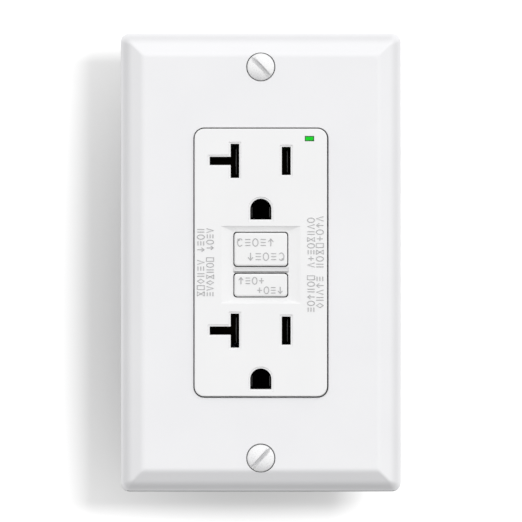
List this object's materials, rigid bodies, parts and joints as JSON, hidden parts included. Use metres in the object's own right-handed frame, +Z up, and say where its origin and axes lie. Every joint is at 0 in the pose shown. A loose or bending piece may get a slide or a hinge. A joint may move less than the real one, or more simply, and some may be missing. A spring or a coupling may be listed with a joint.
{
  "type": "gfci outlet",
  "caption": "Duplex ground-fault receptacle with reset and test buttons, indicator window and a bevelled decorator wall plate, on its mounting strap.",
  "frame": {"origin": "centre of the wall plate on the wall plane", "axes": "+X to the viewer's right, +Y into the wall, +Z up; the face looks along -Y"},
  "size_m": [0.0698, 0.0351, 0.1142],
  "materials": {
    "white": "smooth gloss moulding",
    "enamel": "white enamel on steel",
    "black": "fine matte moulding",
    "grey": "fine matte moulding",
    "lens": "clear green light pipe, lit",
    "zinc": "zinc plated steel",
    "spring": "bright spring wire",
    "brass": "stamped brass",
    "bronze": "phosphor bronze strip",
    "green_enamel": "green lacquer on steel",
    "copper": "enamelled copper winding",
    "board": "solder mask on glass epoxy",
    "fibre": "vulcanised fibre",
    "ferrite": "blue epoxy coat",
    "coat": "dipped epoxy coat"
  },
  "bodies": {
    "housing": {"assembly_screw_lower_left": "zinc", "assembly_screw_lower_right": "zinc", "assembly_screw_upper_left": "zinc", "assembly_screw_upper_right": "zinc", "back_body": "grey", "box_screw_lower": "zinc", "box_screw_upper": "zinc", "circuit_board": "board", "controller_chip": "black", "diode": "black", "electrolytic_capacitor": "black", "film_capacitor": "coat", "front_cover": "white", "ground_contact_lower": "bronze", "ground_contact_upper": "bronze", "ground_screw": "green_enamel", "hot_face_bus": "brass", "hot_line_bar": "brass", "indicator_led": "lens", "leakage_sensor": "ferrite", "light_pipe": "lens", "middle_frame": "black", "mounting_strap": "zinc", "neutral_face_bus": "brass", "neutral_line_bar": "brass", "neutral_sensor": "ferrite", "plate_screw_lower": "enamel", "plate_screw_upper": "enamel", "resistor": "coat", "screw_washer_lower": "fibre", "screw_washer_upper": "fibre", "solenoid_bobbin": "black", "solenoid_frame": "zinc", "solenoid_winding": "copper", "test_contact_pin": "brass", "thyristor": "black", "varistor": "ferrite", "wall_plate": "white"},
    "reset": {"reset_button": "white", "reset_pin": "zinc", "reset_spring": "spring"},
    "test": {"test_button": "white"},
    "test_leaf": {"test_leaf": "bronze"},
    "lifter": {"lifter": "black"},
    "latch": {"latch_plate": "zinc"},
    "plunger": {"solenoid_plunger": "zinc", "plunger_spring": "spring"},
    "hot_arm": {"hot_line_arm": "bronze"},
    "neutral_arm": {"neutral_line_arm": "bronze"},
    "hot_load_terminal": {"hot_load_screw": "brass"},
    "hot_load_pressure_plate": {"hot_load_clamp": "zinc"},
    "hot_line_terminal": {"hot_line_screw": "brass"},
    "hot_line_pressure_plate": {"hot_line_clamp": "zinc"},
    "neutral_load_terminal": {"neutral_load_screw": "zinc"},
    "neutral_load_pressure_plate": {"neutral_load_clamp": "zinc"},
    "neutral_line_terminal": {"neutral_line_screw": "zinc"},
    "neutral_line_pressure_plate": {"neutral_line_clamp": "zinc"}
  },
  "joints": [
    {"name": "reset_button_slide", "type": "slide", "parent": "housing", "child": "reset", "axis": [0, -1, 0], "range_m": [0, 0.0025], "stiffness_N_per_m": 150, "deforming": ["reset_spring"]},
    {"name": "lifter_slide", "type": "slide", "parent": "housing", "child": "lifter", "axis": [0, 1, 0], "range_m": [0, 0.0012]},
    {"name": "hot_arm_hinge", "type": "hinge", "parent": "housing", "child": "hot_arm", "pos_m": [0, 0.0135, -0.018], "axis": [-1, 0, 0], "range_deg": [0, 4.2]},
    {"name": "neutral_arm_hinge", "type": "hinge", "parent": "housing", "child": "neutral_arm", "pos_m": [0, 0.0135, -0.018], "axis": [-1, 0, 0], "range_deg": [0, 4.2]},
    {"name": "test_button_slide", "type": "slide", "parent": "housing", "child": "test", "axis": [0, 1, 0], "range_m": [0, 0.0015], "stiffness_N_per_m": 400},
    {"name": "test_leaf_hinge", "type": "hinge", "parent": "housing", "child": "test_leaf", "pos_m": [-0.007, -0.00128, -0.00566], "axis": [0, 0, 1], "range_deg": [0, 12.6]},
    {"name": "plunger_slide", "type": "slide", "parent": "housing", "child": "plunger", "axis": [0, 0, -1], "range_m": [0, 0.0016], "stiffness_N_per_m": 200, "deforming": ["plunger_spring"]},
    {"name": "latch_slide", "type": "slide", "parent": "lifter", "child": "latch", "axis": [0, 0, -1], "range_m": [0, 0.0016]},
    {"name": "hot_load_screw_turn", "type": "hinge", "parent": "housing", "child": "hot_load_terminal", "pos_m": [0.0194, 0.015, 0.015], "axis": [1, 0, 0], "range_deg": [0, 1000]},
    {"name": "hot_load_clamp_slide", "type": "slide", "parent": "housing", "child": "hot_load_pressure_plate", "axis": [-1, 0, 0], "range_m": [0, 0.0022]},
    {"name": "hot_line_screw_turn", "type": "hinge", "parent": "housing", "child": "hot_line_terminal", "pos_m": [0.0194, 0.015, -0.019], "axis": [1, 0, 0], "range_deg": [0, 1000]},
    {"name": "hot_line_clamp_slide", "type": "slide", "parent": "housing", "child": "hot_line_pressure_plate", "axis": [-1, 0, 0], "range_m": [0, 0.0022]},
    {"name": "neutral_load_screw_turn", "type": "hinge", "parent": "housing", "child": "neutral_load_terminal", "pos_m": [-0.0194, 0.015, 0.015], "axis": [-1, 0, 0], "range_deg": [0, 1000]},
    {"name": "neutral_load_clamp_slide", "type": "slide", "parent": "housing", "child": "neutral_load_pressure_plate", "axis": [1, 0, 0], "range_m": [0, 0.0022]},
    {"name": "neutral_line_screw_turn", "type": "hinge", "parent": "housing", "child": "neutral_line_terminal", "pos_m": [-0.0194, 0.015, -0.019], "axis": [-1, 0, 0], "range_deg": [0, 1000]},
    {"name": "neutral_line_clamp_slide", "type": "slide", "parent": "housing", "child": "neutral_line_pressure_plate", "axis": [1, 0, 0], "range_m": [0, 0.0022]}
  ],
  "couplings": [
    {"joint": "lifter_slide", "follows": "reset_button_slide", "ratio": 0.48},
    {"joint": "hot_arm_hinge", "follows": "reset_button_slide", "rad_per_m": 28.2},
    {"joint": "neutral_arm_hinge", "follows": "reset_button_slide", "rad_per_m": 28.2},
    {"joint": "test_leaf_hinge", "follows": "test_button_slide", "rad_per_m": 142},
    {"joint": "latch_slide", "follows": "plunger_slide", "ratio": 1},
    {"joint": "hot_load_screw_turn", "follows": "hot_load_clamp_slide", "rad_per_m": 7916},
    {"joint": "hot_line_screw_turn", "follows": "hot_line_clamp_slide", "rad_per_m": 7916},
    {"joint": "neutral_load_screw_turn", "follows": "neutral_load_clamp_slide", "rad_per_m": 7916},
    {"joint": "neutral_line_screw_turn", "follows": "neutral_line_clamp_slide", "rad_per_m": 7916}
  ]
}
